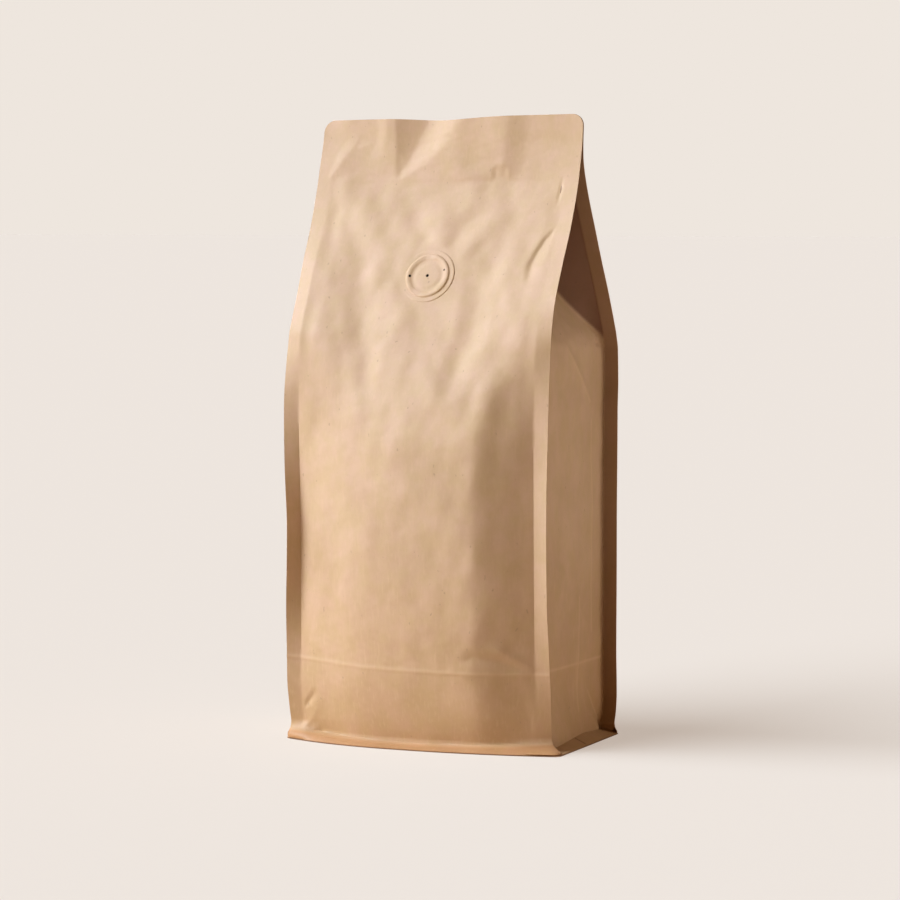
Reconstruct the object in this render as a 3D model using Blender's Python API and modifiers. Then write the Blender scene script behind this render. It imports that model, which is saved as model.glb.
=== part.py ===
"""Filled coffee bag of kraft paper laminate, standing on its flat base.

The bag is one welded pouch: front and back panels, two tucked side gussets, a flat base with a
flared seal all round it, a flat seal along the top and a narrow seal down each of the four corners.
A one-way degassing valve sits on the front panel. Metres, +Z up, front towards -Y, with the origin
in the middle of the base.
"""

import math

import bmesh
import bpy
from mathutils import Matrix, Vector

# Overall sizes
HEIGHT = 0.260
BODY_HALF_WIDTH = 0.0533
CORNER_SEAL_WIDTH = 0.006
SEAL_THICKNESS = 0.0008
TOP_CORNER_RADIUS = 0.005
TOP_SEAL_HEIGHT = 0.0265

# Base: the flared seal's outline on the ground, bowed out at front and back by the filling, and
# the fold above it
BASE_HALF_WIDTH = 0.0612
BASE_HALF_DEPTH = 0.0361
BASE_CORNER_RADIUS = 0.003
BASE_BOW = 0.0098
BASE_FOLD_HEIGHT = 0.0048
BASE_EDGE_HEIGHT = 0.0008

# The fold line across each panel above the base
CREASE_HEIGHT = 0.0325
CREASE_DEPTH = 0.0008
CREASE_REACH = 0.003

# Side gussets: they lie flat up to the shoulder, then tuck in as the bag narrows
SHOULDER_HEIGHT = 0.160
FOLD_RISE = 0.015
GUSSET_CROWN = 0.003

# Half depth of the bag at its corner seals, as (height, half depth)
CORNER_PROFILE = (
    (0.0, 0.0340),
    (0.012, 0.0355),
    (0.030, 0.0368),
    (0.090, 0.0374),
    (0.150, 0.0378),
    (0.163, 0.0370),
    (0.188, 0.0265),
    (0.205, 0.0182),
    (0.2335, 0.0052),
    (0.247, 0.0013),
    (HEIGHT, 0.0009),
)
# Half depth of the bag on the middle line of its panels, as (height, half depth)
MIDDLE_PROFILE = (
    (0.0, 0.0440),
    (BASE_FOLD_HEIGHT, 0.0447),
    (0.014, 0.0462),
    (0.030, 0.0475),
    (0.060, 0.0486),
    (0.100, 0.0490),
    (0.140, 0.0450),
    (0.168, 0.0362),
    (0.200, 0.0205),
    (0.2335, 0.0012),
    (HEIGHT, 0.0012),
)
# Half width at the corner seals' outer edges, as (height, half width)
EDGE_PROFILE = (
    (0.0, 0.0590),
    (0.012, 0.0583),
    (0.030, 0.0593),
    (HEIGHT, 0.0593),
)

# Valve: a flange, a raised ring and a sunk middle, as (radius, height) from its back face
VALVE_RADIUS = 0.0115
VALVE_HEIGHT = 0.194
VALVE_GAP = 0.0004
VALVE_OUTLINE = (
    (0.0, 0.0011),
    (0.0050, 0.0011),
    (0.0060, 0.0016),
    (0.0067, 0.0020),
    (0.0080, 0.0020),
    (0.0088, 0.0016),
    (0.0092, 0.0009),
    (0.0110, 0.0007),
    (VALVE_RADIUS, 0.0004),
    (VALVE_RADIUS, 0.0),
    (0.0, 0.0),
)
VALVE_STEPS = 48
# Vent holes, as (distance from the middle, direction in degrees, radius)
VENT_HOLES = ((0.0, 0.0, 0.00055), (0.0077, 184.0, 0.00050), (0.0072, 20.0, 0.00040))
VENT_DEPTH = 0.0008

# How finely the pouch is divided
PANEL_STEPS = 12
SEAL_STEPS = 3
GUSSET_STEPS = 9
WALL_STEP = 0.0072
CORNER_STEPS = 5

KRAFT = (0.62, 0.43, 0.27, 1.0)
VALVE_COLOUR = (0.64, 0.45, 0.29, 1.0)


def smooth_curve(stations):
    """A function through the stations that never overshoots between them (monotone cubic)."""
    places = [place for place, _ in stations]
    values = [value for _, value in stations]
    chords = [
        (values[i + 1] - values[i]) / (places[i + 1] - places[i])
        for i in range(len(places) - 1)
    ]
    slopes = [chords[0]]
    for before, after in zip(chords, chords[1:]):
        level = before * after <= 0
        slopes.append(0.0 if level else 2 * before * after / (before + after))
    slopes.append(chords[-1])

    def curve(place):
        place = min(max(place, places[0]), places[-1])
        i = 0
        while i < len(chords) - 1 and place > places[i + 1]:
            i += 1
        span = places[i + 1] - places[i]
        t = (place - places[i]) / span
        rise = t * t * (3 - 2 * t)
        leave = t * (1 - t) ** 2 * span * slopes[i]
        arrive = t * t * (t - 1) * span * slopes[i + 1]
        return values[i] + (values[i + 1] - values[i]) * rise + leave + arrive

    return curve


corner_half_depth = smooth_curve(CORNER_PROFILE)
middle_half_depth = smooth_curve(MIDDLE_PROFILE)
edge_half_width = smooth_curve(EDGE_PROFILE)
GUSSET_HALF_WIDTH = corner_half_depth(SHOULDER_HEIGHT) - SEAL_THICKNESS / 2


def outer_edge(z):
    """Half width at height z, with the top corners rounded off."""
    edge = edge_half_width(z)
    above = z - (HEIGHT - TOP_CORNER_RADIUS)
    if above <= 0:
        return edge
    return edge - TOP_CORNER_RADIUS + math.sqrt(max(0.0, TOP_CORNER_RADIUS**2 - above**2))


def gusset_fold(z):
    """How far the gusset tucks in at height z, and the half width of its flat middle."""
    depth = corner_half_depth(z) - SEAL_THICKNESS / 2
    if z <= SHOULDER_HEIGHT:
        return 0.0, depth
    flat = depth * max(0.0, 1 - (z - SHOULDER_HEIGHT) / FOLD_RISE)
    tuck = math.sqrt(max(0.0, (GUSSET_HALF_WIDTH - flat) ** 2 - (depth - flat) ** 2))
    return tuck, flat


def gusset_point(share, z):
    """A point of the right gusset's front half: share 0 at the corner seal, 1 at its centre fold."""
    depth = corner_half_depth(z) - SEAL_THICKNESS / 2
    tuck, flat = gusset_fold(z)
    if z <= SHOULDER_HEIGHT:
        swell = GUSSET_CROWN * math.sin(math.pi * z / SHOULDER_HEIGHT)
        return BODY_HALF_WIDTH + swell * (1 - (1 - share) ** 3), -depth * (1 - share)
    run = share * GUSSET_HALF_WIDTH
    wall = GUSSET_HALF_WIDTH - flat
    if run > wall:
        return BODY_HALF_WIDTH - tuck, run - GUSSET_HALF_WIDTH
    along = run / wall
    return BODY_HALF_WIDTH - tuck * along, (depth - flat) * along - depth


def tucked_depth(x, z):
    """Half depth at which the tucked gusset lies under the panel, or 0 where there is none."""
    tuck, flat = gusset_fold(z)
    inner = BODY_HALF_WIDTH - tuck
    if tuck <= 0 or x <= inner:
        return 0.0
    return flat + (corner_half_depth(z) - flat) * min(1.0, (x - inner) / tuck)


def crease(z):
    """How far the fold line round the foot of the bag is pressed in at height z."""
    return CREASE_DEPTH * max(0.0, 1 - abs(z - CREASE_HEIGHT) / CREASE_REACH)


def panel_half_depth(x, z):
    """Half depth of the panel's outer face, crowned over the contents and flat in the top seal."""
    corner = corner_half_depth(z) + SEAL_THICKNESS / 2
    middle = middle_half_depth(z)
    share = x / BODY_HALF_WIDTH
    sharpness = 3.0 if middle > corner else 1.6
    depth = middle + (corner - middle) * share**sharpness - crease(z) * (1 - share**4)
    return max(depth, tucked_depth(x, z) + SEAL_THICKNESS / 2)


def section(z):
    """The front right quarter of the bag's outline at height z, from x = 0 round to y = 0."""
    edge = outer_edge(z)
    depth = corner_half_depth(z)
    half = SEAL_THICKNESS / 2
    xs = [BODY_HALF_WIDTH * i / PANEL_STEPS for i in range(PANEL_STEPS + 1)]
    points = [(x, -panel_half_depth(x, z)) for x in xs]
    widths = [
        BODY_HALF_WIDTH + (edge - BODY_HALF_WIDTH) * i / SEAL_STEPS
        for i in range(1, SEAL_STEPS + 1)
    ]
    points += [(x, -depth - half) for x in widths]
    points += [(x, -depth + half) for x in reversed(widths)]
    points += [gusset_point(j / GUSSET_STEPS, z) for j in range(GUSSET_STEPS + 1)]
    return points


def base_outline():
    """The flared base seal's outline, with as many points as a section has."""
    radius = BASE_CORNER_RADIUS
    centre_x = BASE_HALF_WIDTH - radius
    centre_y = -BASE_HALF_DEPTH + radius
    shares = [i / PANEL_STEPS for i in range(PANEL_STEPS + 1)]
    points = [(centre_x * s, -BASE_HALF_DEPTH - BASE_BOW * (1 - s**3)) for s in shares]
    turns = 2 * SEAL_STEPS + 1
    for i in range(1, turns):
        angle = math.radians(-90 + 90 * i / turns)
        x = centre_x + radius * math.cos(angle)
        points.append((x, centre_y + radius * math.sin(angle)))
    points += [
        (BASE_HALF_WIDTH, centre_y * (1 - j / GUSSET_STEPS)) for j in range(GUSSET_STEPS + 1)
    ]
    return points


def wall_heights():
    """The heights of the outlines above the base: one on every fold line, and evenly between."""
    straight_top = HEIGHT - TOP_CORNER_RADIUS
    lines = (
        BASE_FOLD_HEIGHT,
        CREASE_HEIGHT - CREASE_REACH,
        CREASE_HEIGHT,
        CREASE_HEIGHT + CREASE_REACH,
        SHOULDER_HEIGHT,
        SHOULDER_HEIGHT + FOLD_RISE,
        HEIGHT - TOP_SEAL_HEIGHT,
        straight_top,
    )
    heights = [BASE_FOLD_HEIGHT]
    for low, high in zip(lines, lines[1:]):
        steps = max(1, round((high - low) / WALL_STEP))
        heights += [low + (high - low) * i / steps for i in range(1, steps + 1)]
    for i in range(1, CORNER_STEPS + 1):
        turn = math.radians(90 * i / CORNER_STEPS)
        heights.append(straight_top + TOP_CORNER_RADIUS * math.sin(turn))
    return heights


def pouch_rows():
    """Every outline of the quarter bag from the ground up, as rows of 3D points."""
    outline = base_outline()
    fold = section(BASE_FOLD_HEIGHT)
    rows = [[(x, y, z) for x, y in outline] for z in (0.0, BASE_EDGE_HEIGHT)]
    flare = ((0.0018, 0.55), (0.0031, 0.22))
    for z, share in flare:
        row = []
        for (fx, fy), (ox, oy) in zip(fold, outline):
            row.append((fx + (ox - fx) * share, fy + (oy - fy) * share, z))
        rows.append(row)
    rows += [[(x, y, z) for x, y in section(z)] for z in wall_heights()]
    return rows


def kraft_material():
    return plain_material("kraft_paper", KRAFT, 0.75)


def valve_material():
    return plain_material("valve_face", VALVE_COLOUR, 0.7)


def plain_material(name, colour, roughness):
    material = bpy.data.materials.new(name)
    material.use_nodes = True
    shader = material.node_tree.nodes["Principled BSDF"]
    shader.inputs["Base Color"].default_value = colour
    shader.inputs["Roughness"].default_value = roughness
    shader.inputs["Metallic"].default_value = 0.0
    return material


def add_mirror(piece, axes):
    mirror = piece.modifiers.new("mirror", "MIRROR")
    mirror.use_axis = axes
    mirror.merge_threshold = 0.00001


def build_pouch(collection):
    """The closed bag as one solid: a quarter lofted through its outlines, then mirrored twice."""
    work = bmesh.new()
    rows = [[work.verts.new(point) for point in row] for row in pouch_rows()]
    for lower, upper in zip(rows, rows[1:]):
        for i in range(len(lower) - 1):
            work.faces.new((lower[i], lower[i + 1], upper[i + 1], upper[i]))
    base_middle = work.verts.new((0.0, 0.0, 0.0))
    for a, b in zip(rows[0], rows[0][1:]):
        work.faces.new((b, a, base_middle))
    top_middle = work.verts.new((0.0, 0.0, HEIGHT))
    work.faces.new([*rows[-1], top_middle])
    mesh = bpy.data.meshes.new("pouch")
    work.to_mesh(mesh)
    work.free()
    pouch = bpy.data.objects.new("pouch", mesh)
    pouch.data.materials.append(kraft_material())
    collection.objects.link(pouch)
    add_mirror(pouch, (True, True, False))
    mesh.shade_smooth()
    mesh.set_sharp_from_angle(angle=math.radians(35))
    return pouch


def valve_placing():
    """Where the valve's back face lies: on the front panel, leaning with it."""
    reach = VALVE_RADIUS
    low = VALVE_HEIGHT - reach * 0.9
    high = VALVE_HEIGHT + reach * 0.9
    front_low = Vector((0.0, -panel_half_depth(0.0, low), low))
    front_high = Vector((0.0, -panel_half_depth(0.0, high), high))
    upward = (front_high - front_low).normalized()
    outward = Vector((1, 0, 0)).cross(upward)
    clear = 0.0
    for i in range(9):
        for j in range(9):
            x = reach * (i / 4 - 1)
            z = low + (high - low) * j / 8
            surface = Vector((x, -panel_half_depth(abs(x), z), z))
            clear = max(clear, (surface - front_low).dot(outward))
    centre = (front_low + front_high) / 2 + outward * (clear + VALVE_GAP)
    turn = Matrix((Vector((1, 0, 0)), upward, outward)).transposed()
    return Matrix.Translation(centre) @ turn.to_4x4()


def build_valve(collection, helpers):
    """The valve, turned from its outline, with its vent holes sunk into its face."""
    work = bmesh.new()
    points = [work.verts.new((radius, 0.0, height)) for radius, height in VALVE_OUTLINE]
    for a, b in zip(points, points[1:]):
        work.edges.new((a, b))
    mesh = bpy.data.meshes.new("valve")
    work.to_mesh(mesh)
    work.free()
    valve = bpy.data.objects.new("valve", mesh)
    valve.data.materials.append(valve_material())
    collection.objects.link(valve)
    valve.matrix_world = valve_placing()
    turned = valve.modifiers.new("turned", "SCREW")
    turned.steps = VALVE_STEPS
    turned.render_steps = VALVE_STEPS
    turned.use_merge_vertices = True
    turned.merge_threshold = 0.00001
    turned.use_normal_calculate = True
    face = max(height for _, height in VALVE_OUTLINE)
    for number, (distance, direction, radius) in enumerate(VENT_HOLES):
        angle = math.radians(direction)
        cutter_mesh = bpy.data.meshes.new(f"vent_cutter_{number}")
        drill = bmesh.new()
        bmesh.ops.create_cone(
            drill, cap_ends=True, segments=12, radius1=radius, radius2=radius, depth=0.003
        )
        drill.to_mesh(cutter_mesh)
        drill.free()
        cutter = bpy.data.objects.new(f"vent_cutter_{number}", cutter_mesh)
        helpers.objects.link(cutter)
        bottom = outline_height(distance) - VENT_DEPTH
        place = Vector((distance * math.cos(angle), distance * math.sin(angle), bottom + 0.0015))
        cutter.matrix_world = valve.matrix_world @ Matrix.Translation(place)
        cutter.hide_render = True
        cutter.display_type = "WIRE"
        cut = valve.modifiers.new(f"vent_{number}", "BOOLEAN")
        cut.operation = "DIFFERENCE"
        cut.object = cutter
    return valve, face


def outline_height(distance):
    """The height of the valve's face at a distance from its middle."""
    face = VALVE_OUTLINE[:-2]
    for (r0, h0), (r1, h1) in zip(face, face[1:]):
        if r0 <= distance <= r1:
            return h0 + (h1 - h0) * (distance - r0) / (r1 - r0)
    return 0.0


def main():
    for old in list(bpy.data.objects):
        bpy.data.objects.remove(old)
    bag = bpy.data.collections.new("coffee_bag")
    helpers = bpy.data.collections.new("cutters")
    bpy.context.scene.collection.children.link(bag)
    bpy.context.scene.collection.children.link(helpers)
    build_pouch(bag)
    build_valve(bag, helpers)


main()
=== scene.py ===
"""Coffee bag add-on: a filled, flat-bottom coffee bag of plain kraft paper laminate.

The bag is made web by web, as it is on a pouch machine: a front and a back panel, two tucked side
gussets and a base sheet. Each is a thin sheet, and they meet in four narrow corner seals, a flat
top seal and a flared base seal. A one-way valve is pressed into the front panel. Tables and shape
functions work in millimetres, and a mesh is scaled to metres when it is made.
"""

import math

import bmesh
import bpy
import numpy as np
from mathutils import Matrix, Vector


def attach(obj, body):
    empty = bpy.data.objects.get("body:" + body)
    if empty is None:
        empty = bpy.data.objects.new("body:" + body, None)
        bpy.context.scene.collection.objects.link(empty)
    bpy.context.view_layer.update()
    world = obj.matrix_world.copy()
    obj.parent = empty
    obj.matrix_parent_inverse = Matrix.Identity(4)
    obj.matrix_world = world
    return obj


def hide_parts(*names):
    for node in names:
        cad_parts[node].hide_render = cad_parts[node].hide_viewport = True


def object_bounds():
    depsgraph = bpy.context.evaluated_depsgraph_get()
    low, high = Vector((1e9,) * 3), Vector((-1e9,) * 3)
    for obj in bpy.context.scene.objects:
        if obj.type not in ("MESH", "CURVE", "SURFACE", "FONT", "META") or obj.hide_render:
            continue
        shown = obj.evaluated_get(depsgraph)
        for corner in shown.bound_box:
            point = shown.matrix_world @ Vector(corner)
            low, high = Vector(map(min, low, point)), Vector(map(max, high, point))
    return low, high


bl_info = {
    "name": "Coffee Bag",
    "version": (1, 0, 0),
    "blender": (4, 5, 0),
    "location": "3D View > Sidebar > Coffee Bag",
    "description": "Makes a filled kraft paper coffee bag with side gussets and a one-way valve",
    "category": "Object",
}

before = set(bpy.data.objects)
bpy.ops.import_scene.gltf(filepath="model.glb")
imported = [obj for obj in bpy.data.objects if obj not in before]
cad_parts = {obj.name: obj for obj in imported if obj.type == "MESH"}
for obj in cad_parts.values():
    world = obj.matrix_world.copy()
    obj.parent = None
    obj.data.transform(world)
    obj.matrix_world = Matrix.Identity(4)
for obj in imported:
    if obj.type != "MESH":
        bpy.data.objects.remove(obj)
CAD_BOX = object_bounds()

MM = 0.001
BAG_TOP = CAD_BOX[1][2] / MM
PAPER_STEP = 0.9  # spacing of the grid points across a panel
SHARPEST_SMOOTH = 30.0  # degrees; a sharper edge than this isn't shaded round
CREST_BLUNTNESS = 0.03  # share of a crisp fold's reach that its crest is rounded over
WAVES = 14  # how many waves make up a ripple


# ---------------------------------------------------------------- shape tools


def curve(*stations):
    """A smooth function through (place, value) stations that never overshoots between them."""
    x = np.array([s[0] for s in stations], float)
    y = np.array([s[1] for s in stations], float)
    gaps = np.diff(x)
    chords = np.diff(y) / gaps
    slopes = np.zeros(len(x))
    same = chords[:-1] * chords[1:] > 0
    mean = 2 * chords[:-1] * chords[1:] / np.where(same, chords[:-1] + chords[1:], 1)
    slopes[1:-1] = np.where(same, mean, 0)
    slopes[0], slopes[-1] = chords[0], chords[-1]

    def at(place):
        place = np.clip(np.asarray(place, float), x[0], x[-1])
        i = np.clip(np.searchsorted(x, place) - 1, 0, len(gaps) - 1)
        t = (place - x[i]) / gaps[i]
        rise = t * t * (3 - 2 * t)
        leave = t * (1 - t) ** 2 * gaps[i] * slopes[i]
        arrive = t * t * (t - 1) * gaps[i] * slopes[i + 1]
        return y[i] + (y[i + 1] - y[i]) * rise + leave + arrive

    return at


def ease(low, high, value):
    """0 below low, 1 above high, and smooth between."""
    t = np.clip((value - low) / (high - low), 0, 1)
    return t * t * (3 - 2 * t)


def ripple(across, up, size, seed):
    """Smooth random waves about one unit high, with humps roughly the given size apart."""
    rng = np.random.default_rng(seed)
    total = np.zeros(np.broadcast(across, up).shape)
    for _ in range(WAVES):
        angle = rng.uniform(0, 2 * math.pi)
        length = size * rng.uniform(0.7, 1.6)
        phase = rng.uniform(0, 2 * math.pi)
        along = across * math.cos(angle) + up * math.sin(angle)
        total += np.sin(2 * math.pi * along / length + phase)
    return total / 3.7


def fold(across, up, path, crisp):
    """The height of one fold that runs along a path of (across, up, height, reach) points.

    A fifth number is the reach to the right of the path, where the two flanks differ. A crisp fold
    has a creased crest, and a soft one is rounded over.
    """
    best = np.full(np.broadcast(across, up).shape, 1e9)
    height = np.zeros_like(best)
    for a, b in zip(path, path[1:]):
        dx, dy = b[0] - a[0], b[1] - a[1]
        t = ((across - a[0]) * dx + (up - a[1]) * dy) / (dx * dx + dy * dy)
        t = np.clip(t, 0, 1)
        off_x = across - a[0] - t * dx
        off_y = up - a[1] - t * dy
        left = dx * off_y - dy * off_x > 0
        reach_a = np.where(left, a[3], a[-1])
        reach_b = np.where(left, b[3], b[-1])
        share = np.hypot(off_x, off_y) / (reach_a + (reach_b - reach_a) * t)
        near = share < best
        height = np.where(near, a[2] + (b[2] - a[2]) * t, height)
        best = np.where(near, share, best)
    best = np.minimum(best, 1)
    if crisp:
        blunt = (np.sqrt(best**2 + CREST_BLUNTNESS**2) - CREST_BLUNTNESS) / 0.9705
        return height * (1 - blunt) * (1 - blunt**2)
    return height * (1 - best) ** 2 * (1 + 2 * best)


def folds(across, up, paths, crisp=False):
    """The sum of many folds."""
    total = np.zeros(np.broadcast(across, up).shape)
    for path in paths:
        total = total + fold(across, up, path, crisp)
    return total


def worn_line(across, up, paths, width=0.4):
    """How near each point is to the crest of a crisp fold, from 0 to 1."""
    total = np.zeros(np.broadcast(across, up).shape)
    for path in paths:
        thin = [(p[0], p[1], 1.0, width * 2.5) for p in path]
        total = np.maximum(total, fold(across, up, thin, False))
    return total


def grid_normals(points):
    """Unit normals of a grid of points."""
    along = np.gradient(points, axis=1)
    up = np.gradient(points, axis=0)
    normals = np.cross(along, up)
    return normals / np.maximum(np.linalg.norm(normals, axis=2, keepdims=True), 1e-12)


def grid_faces(rows, columns, start, flip):
    """Quads of a grid of points numbered row by row from start."""
    number = start + np.arange(rows * columns).reshape(rows, columns)
    a, b = number[:-1, :-1].ravel(), number[:-1, 1:].ravel()
    c, d = number[1:, 1:].ravel(), number[1:, :-1].ravel()
    return np.stack((a, d, c, b) if flip else (a, b, c, d), axis=1)


def rim_faces(rows, columns, second):
    """Quads that close the edge between two grids, the second numbered from second."""
    number = np.arange(rows * columns).reshape(rows, columns)
    edge = np.concatenate(
        (number[0, :-1], number[:-1, -1], number[-1, :0:-1], number[:0:-1, 0])
    )
    after = np.roll(edge, -1)
    return np.stack((after, edge, edge + second, after + second), axis=1)


def new_piece(name, points, faces, material):
    """A mesh object from points in millimetres and quads."""
    mesh = bpy.data.meshes.new(name)
    mesh.vertices.add(len(points))
    mesh.vertices.foreach_set("co", (points * MM).astype(np.float32).ravel())
    mesh.loops.add(faces.size)
    mesh.loops.foreach_set("vertex_index", faces.astype(np.int32).ravel())
    mesh.polygons.add(len(faces))
    sides = faces.shape[1]
    mesh.polygons.foreach_set("loop_start", np.arange(len(faces), dtype=np.int32) * sides)
    mesh.update(calc_edges=True)
    mesh.validate()
    mesh.materials.append(material)
    mesh.shade_smooth()
    mesh.set_sharp_from_angle(angle=math.radians(SHARPEST_SMOOTH))
    piece = bpy.data.objects.new(name, mesh)
    bpy.context.scene.collection.objects.link(piece)
    return piece


def sheet_piece(name, points, thickness, material, flip=False):
    """A thin closed sheet from a grid of points on its outer face."""
    rows, columns = points.shape[:2]
    inward = grid_normals(points) * (thickness if flip else -thickness)
    both = np.concatenate((points.reshape(-1, 3), (points + inward).reshape(-1, 3)))
    count = rows * columns
    faces = np.concatenate(
        (
            grid_faces(rows, columns, 0, flip),
            grid_faces(rows, columns, count, not flip),
            rim_faces(rows, columns, count)[:, :: -1 if flip else 1],
        )
    )
    return new_piece(name, both, faces, material)


def add_mark(piece, name, values, copies=2):
    """Stores how creased or worn the paper is at each point, for its material to read."""
    mark = piece.data.attributes.new(name, "FLOAT", "POINT")
    mark.data.foreach_set("value", np.tile(values.ravel(), copies).astype(np.float32))


# ---------------------------------------------------------------- the bag's shape
# Everything here is in millimetres. x runs across the bag, y from front (-) to back (+), z up.

BODY = 53.2  # half width between the corner folds
SHEET = 0.18  # thickness of the laminate
LAYER = 0.26  # step from a panel's face to the gusset sealed behind it
LOWEST_EDGE = 0.45  # height of the webs' bottom edges, just above the base sheet
FOOT_HALF_WIDTH = 61.0
FOOT_HALF_DEPTH = 35.6
FOOT_CORNER = 2.4  # corner radius of the base seal
FOOT_BOW = 12.4  # how far the beans bow the base out at the middle of the front and back
FOOT_SPREAD = 4.4  # how far the right front corner of the base stands out sideways
FOOT_FOLD = 4.2  # below this the corner folds run on unchanged to the base
TOP_CORNER = 5.0  # corner radius of the top seal
TOP_SEAL = 233.0  # height where the flat top seal begins

# How far in front (-) or behind (+) the middle each corner fold lies, by height
front_left_fold = curve(
    (4, -33.6), (14, -35.4), (25, -36.6), (37, -36.3), (75, -36.4), (100, -36.8), (131, -38.0),
    (144, -38.3), (157, -37.9), (169, -36.6), (175, -34.4), (188, -28.4), (201, -22.3),
    (213, -15.8), (226, -10.3), (239, -6.0), (247, -4.2), (252, -3.4), (260, -3.0),
)  # fmt: skip
front_right_fold = curve(
    (4, -33.0), (14, -34.2), (25, -34.9), (41, -35.8), (62, -36.4), (90, -36.9), (127, -37.2),
    (145, -36.9), (163, -35.6), (175, -32.6), (187, -27.3), (200, -20.6), (212, -14.0),
    (224, -8.8), (237, -4.6), (243, -3.4), (250, -2.7), (260, -2.5),
)  # fmt: skip
back_right_fold = curve(
    (4, 34.6), (10, 36.6), (17, 37.3), (36, 36.8), (60, 36.8), (100, 36.4), (137, 36.6),
    (150, 37.3), (163, 36.9), (169, 35.3), (175, 32.6), (188, 25.9), (200, 19.0), (213, 12.0),
    (225, 5.5), (231, 2.7), (237, 0.4), (243, -1.0), (250, -1.6), (260, -1.7),
)  # fmt: skip
back_left_fold = curve(
    (4, 34.4), (10, 36.0), (17, 36.8), (60, 37.0), (100, 36.6), (137, 36.9), (152, 37.4),
    (163, 36.8), (171, 34.0), (188, 25.6), (200, 18.6), (213, 11.6), (225, 5.0), (231, 2.1),
    (237, -0.2), (243, -1.6), (250, -2.2), (260, -2.2),
)  # fmt: skip

# How far each corner seal bends outward from the plane of its panel, in degrees
front_left_bend = curve(
    (4, -6), (10, -2), (24, 4), (40, 13), (56, 30), (72, 46), (92, 52), (104, 42), (120, 26),
    (144, 8), (156, -6), (168, -15), (182, -16), (200, -10), (216, -3), (235, 0), (260, 0),
)  # fmt: skip
front_right_bend = curve(
    (4, -26), (16, -24), (27, -12), (36, -3), (46, 4), (60, 12), (85, 14), (104, 11), (127, 1),
    (145, -7), (160, -16), (172, -4), (186, 6), (215, 4), (240, 0), (260, 0),
)  # fmt: skip
back_right_bend = curve((4, 0), (36, -6), (80, -3), (130, 2), (170, 0), (260, 0))
back_left_bend = curve((4, 0), (36, 8), (80, 20), (130, 12), (170, 0), (260, 0))

# The panels' middle lines, fuller than the corners where the beans press them out
front_middle = curve(
    (4, -42.5), (8, -43.8), (15, -45.5), (25, -47.2), (33, -48.2), (50, -49.3), (75, -50.0),
    (100, -50.2), (120, -49.2), (135, -46.6), (150, -42.2), (171, -33.8), (190, -25.4),
    (205, -18.6), (221, -11.0), (233.5, -5.6), (243, -3.8), (252, -3.4), (260, -3.2),
)  # fmt: skip
back_middle = curve(
    (4, 42.4), (8, 43.6), (15, 45.2), (25, 46.6), (33, 47.4), (50, 48.3), (75, 48.9), (100, 49.0),
    (120, 48.2), (135, 46.0), (152, 41.4), (171, 33.2), (190, 24.0), (205, 16.6), (221, 8.2),
    (233.5, 1.6), (243, -1.0), (252, -1.6), (260, -1.7),
)  # fmt: skip


def running_sum(values):
    """Trapezium-rule integral over evenly spaced values, starting from 0."""
    steps = (values[1:] + values[:-1]) / 2
    return np.concatenate(([0.0], np.cumsum(steps)))


def pillow(left_slopes, right_slopes):
    """A panel's cross-section, 1 at the middle and 0 at the corners, from its slopes either side."""
    at = np.linspace(0, 1, 400)
    left, right = running_sum(left_slopes(at)), running_sum(right_slopes(at))
    left, right = 1 - left / left[-1], 1 - right / right[-1]
    whole = np.concatenate((left[::-1], right[1:]))
    return lambda u: np.interp(u, np.linspace(-1, 1, len(whole)), whole)


# Slopes from the middle (0) to a corner (1): an even round on the left, a sharper turn on the right
soft_side = curve((0, 0.05), (0.15, 0.10), (0.35, 0.21), (0.62, 0.33), (0.8, 0.36), (1.0, 0.37))
sharp_side = curve(
    (0, 0.0), (0.2, 0.03), (0.44, 0.07), (0.54, 0.16), (0.63, 0.52), (0.75, 0.72), (1.0, 0.76),
)  # fmt: skip
even_side = curve((0, 0.0), (1.0, 1.0))
full_front = pillow(soft_side, sharp_side)
full_back = pillow(sharp_side, soft_side)
lean = pillow(even_side, even_side)
fullness = curve((4, 0.5), (25, 1.0), (145, 1.0), (175, 0.0), (260, 0.0))
seal_width = curve((4, 6.0), (30, 6.3), (260, 6.3))


# The pleats that the top seal has trapped: where the left one's sharp crest, floor and end are
pleat_crest = curve((234, -23.8), (246, -24.6), (260, -25.7))
pleat_floor = curve((234, -22.6), (246, -17.5), (260, -11.5))
pleat_end = curve((234, -19.0), (246, -4.0), (260, 5.0))
pleat_depth = curve((234, 0.0), (240, 0.8), (247, 1.6), (260, 2.5))
RIGHT_PLEAT = [
    (25.2, 261, 1.0, 11, 40), (25.0, 248, 1.05, 11, 30), (24.6, 240, 1.0, 10, 12), (23.6, 234.5, 0, 5, 6),
]  # fmt: skip
LEFT_RIDGE = [
    (-53, 236.4, 0.2, 2.5, 3), (-48.5, 244, 0.45, 5, 8), (-44, 249.5, 0.25, 6, 9), (-41, 254, 0, 6),
]  # fmt: skip
TOP_SWELLS = [
    [(-29, 262, 0.9, 26, 6), (-29, 248, 0.5, 22, 6), (-29, 236, 0, 12)],
    [(4, 262, 0.4, 12, 8), (4, 248, 0.35, 12, 8), (3, 238, 0, 7)],
    [(46, 262, -0.15, 16), (44, 250, -0.3, 16), (44, 238, 0, 12)],
    [(-58, 262, -0.9, 12), (-58, 250, -0.3, 12), (-58, 240, 0, 10)],
]


def top_wave(x, z):
    """How far the flat top stands forward of its plane, where it's pleated and rumpled."""
    crest, floor, end = pleat_crest(z), pleat_floor(z), pleat_end(z)
    down = np.clip((x - crest) / (floor - crest), 0, 1)
    rise = ease(0, 1, (end - x) / (end - floor))
    pleat = -pleat_depth(z) * np.where(x < floor, down * (1.35 - 0.35 * down), rise)
    swells = folds(x, z, TOP_SWELLS) + folds(x, z, [RIGHT_PLEAT, LEFT_RIDGE], crisp=True)
    return (pleat + swells) * ease(232.5, 236, z)


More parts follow.
